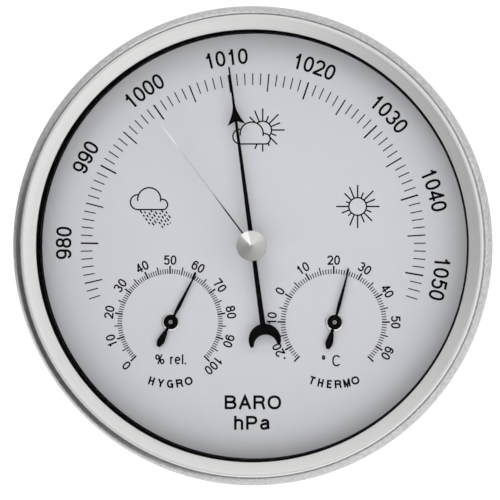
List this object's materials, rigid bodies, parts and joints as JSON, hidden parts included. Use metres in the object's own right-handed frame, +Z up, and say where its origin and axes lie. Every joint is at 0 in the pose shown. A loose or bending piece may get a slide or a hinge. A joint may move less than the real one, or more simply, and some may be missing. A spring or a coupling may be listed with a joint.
{
  "type": "aneroid barometer",
  "caption": "Round wall weather instrument: aneroid pressure dial with set hand, hygrometer and thermometer sub-dials in a brushed steel case.",
  "frame": {"origin": "on the dial's axis, at the back face that lies against the wall", "axes": "+Z up, +Y into the wall, the dial faces -Y, +X to the right as the reader sees it"},
  "size_m": [0.132, 0.0408, 0.132],
  "materials": {
    "brushed_case": "brushed",
    "satin_bezel": "satin",
    "clear_glass": "clear",
    "black_rubber": "matt",
    "black_plastic": "matt",
    "silver_dial": "fine satin",
    "grey_plastic": "fine grain",
    "zinc_steel": "zinc plated",
    "steel_wire": "polished",
    "brass": "turned",
    "capsule_alloy": "drawn sheet",
    "spring_steel": "blued",
    "black_hand": "satin black",
    "turned_aluminium": "face turned",
    "polished_needle": "polished",
    "bimetal": "rolled strip"
  },
  "bodies": {
    "root": {"case_drum": "brushed_case", "back_cover": "grey_plastic", "bezel_ring": "satin_bezel", "glass": "clear_glass", "glass_gasket": "black_rubber", "dial_spacer": "black_plastic", "dial_plate": "silver_dial", "dial_carrier": "grey_plastic", "case_screws": "zinc_steel", "hanger_plate": "zinc_steel", "hanger_screws": "zinc_steel", "base_plate": "brass", "base_screws": "zinc_steel", "movement_pillars": "brass", "rear_plate": "brass", "plate_spacers": "brass", "front_plate": "brass", "movement_screws": "zinc_steel", "capsule_lower": "capsule_alloy", "capsule_upper": "capsule_alloy", "main_spring": "spring_steel", "rocker_bracket": "brass", "pivot_screws": "zinc_steel", "hairspring": "spring_steel", "hairspring_stud": "brass", "glass_bush": "turned_aluminium", "hygro_cup": "turned_aluminium", "hygro_screws": "zinc_steel", "hygro_coil": "bimetal", "hygro_stud": "brass", "hygro_bush": "turned_aluminium", "thermo_cup": "turned_aluminium", "thermo_screws": "zinc_steel", "thermo_coil": "bimetal", "thermo_stud": "brass", "thermo_bush": "turned_aluminium"},
    "pressure_train": {"centre_arbor": "steel_wire", "hairspring_collet": "brass", "baro_pointer": "black_hand"},
    "sector": {"sector_gear": "brass", "sector_arbor": "steel_wire"},
    "drive_link_body": {"drive_link": "steel_wire"},
    "rocker": {"rocker_shaft": "steel_wire"},
    "lift_link_body": {"lift_link": "steel_wire"},
    "spring_lever": {"spring_arm": "brass", "arm_rivets": "zinc_steel"},
    "capsule_post": {"capsule_stud": "brass", "stud_key": "zinc_steel"},
    "set_marker": {"set_hand": "polished_needle", "set_shaft": "steel_wire", "set_washer": "spring_steel", "set_knob": "turned_aluminium"},
    "hygro_hand": {"hygro_arbor": "steel_wire", "hygro_pointer": "black_hand"},
    "thermo_hand": {"thermo_arbor": "steel_wire", "thermo_pointer": "black_hand"},
    "calibrator": {"calibration_screw": "brass"}
  },
  "joints": [
    {"name": "pressure_pointer", "type": "hinge", "parent": "root", "child": "pressure_train", "pos_m": [0, -0.028, 0], "axis": [0, 1, 0], "range_deg": [-100, 115], "deforming": ["hairspring"]},
    {"name": "sector_swing", "type": "hinge", "parent": "root", "child": "sector", "pos_m": [0.0165, -0.0203, 0], "axis": [0, 1, 0], "range_deg": [-11.6, 10.1]},
    {"name": "drive_link_swing", "type": "hinge", "parent": "sector", "child": "drive_link_body", "pos_m": [0.0165, -0.0212, 0.007], "axis": [0, 1, 0], "range_deg": [-10.1, 11.6]},
    {"name": "rocker_tilt", "type": "hinge", "parent": "root", "child": "rocker", "pos_m": [0.028, -0.0095, 0.007], "axis": [0, 0, 1], "range_deg": [-7, 6.1]},
    {"name": "lift_link_swing", "type": "hinge", "parent": "rocker", "child": "lift_link_body", "pos_m": [0.0245, -0.0095, 0.005], "axis": [0, 0, 1], "range_deg": [-6.1, 7]},
    {"name": "spring_flex", "type": "hinge", "parent": "root", "child": "spring_lever", "pos_m": [-0.023, -0.0105, 0.005], "axis": [0, 0, 1], "range_deg": [-0.5, 0.55], "deforming": ["main_spring"]},
    {"name": "capsule_breath", "type": "slide", "parent": "root", "child": "capsule_post", "axis": [0, 1, 0], "range_m": [-0.00019, 0.00022], "deforming": ["capsule_upper"]},
    {"name": "set_marker_turn", "type": "hinge", "parent": "root", "child": "set_marker", "pos_m": [0, -0.038, 0], "axis": [0, 1, 0], "continuous": true},
    {"name": "hygro_pointer", "type": "hinge", "parent": "root", "child": "hygro_hand", "pos_m": [-0.0228, -0.028, -0.0212], "axis": [0, 1, 0], "range_deg": [-162, 107], "deforming": ["hygro_coil"]},
    {"name": "thermo_pointer", "type": "hinge", "parent": "root", "child": "thermo_hand", "pos_m": [0.0228, -0.028, -0.0212], "axis": [0, 1, 0], "range_deg": [-149, 120], "deforming": ["thermo_coil"]},
    {"name": "calibration_turn", "type": "hinge", "parent": "root", "child": "calibrator", "pos_m": [0, -0.003, 0.005], "axis": [0, 1, 0], "range_deg": [-180, 180]}
  ],
  "couplings": [
    {"joint": "sector_swing", "follows": "pressure_pointer", "ratio": -0.1},
    {"joint": "drive_link_swing", "follows": "pressure_pointer", "ratio": 0.1},
    {"joint": "rocker_tilt", "follows": "pressure_pointer", "ratio": -0.059829},
    {"joint": "lift_link_swing", "follows": "pressure_pointer", "ratio": 0.059829},
    {"joint": "spring_flex", "follows": "pressure_pointer", "ratio": 0.0044085},
    {"joint": "capsule_breath", "follows": "pressure_pointer", "m_per_rad": 0.0001014}
  ]
}
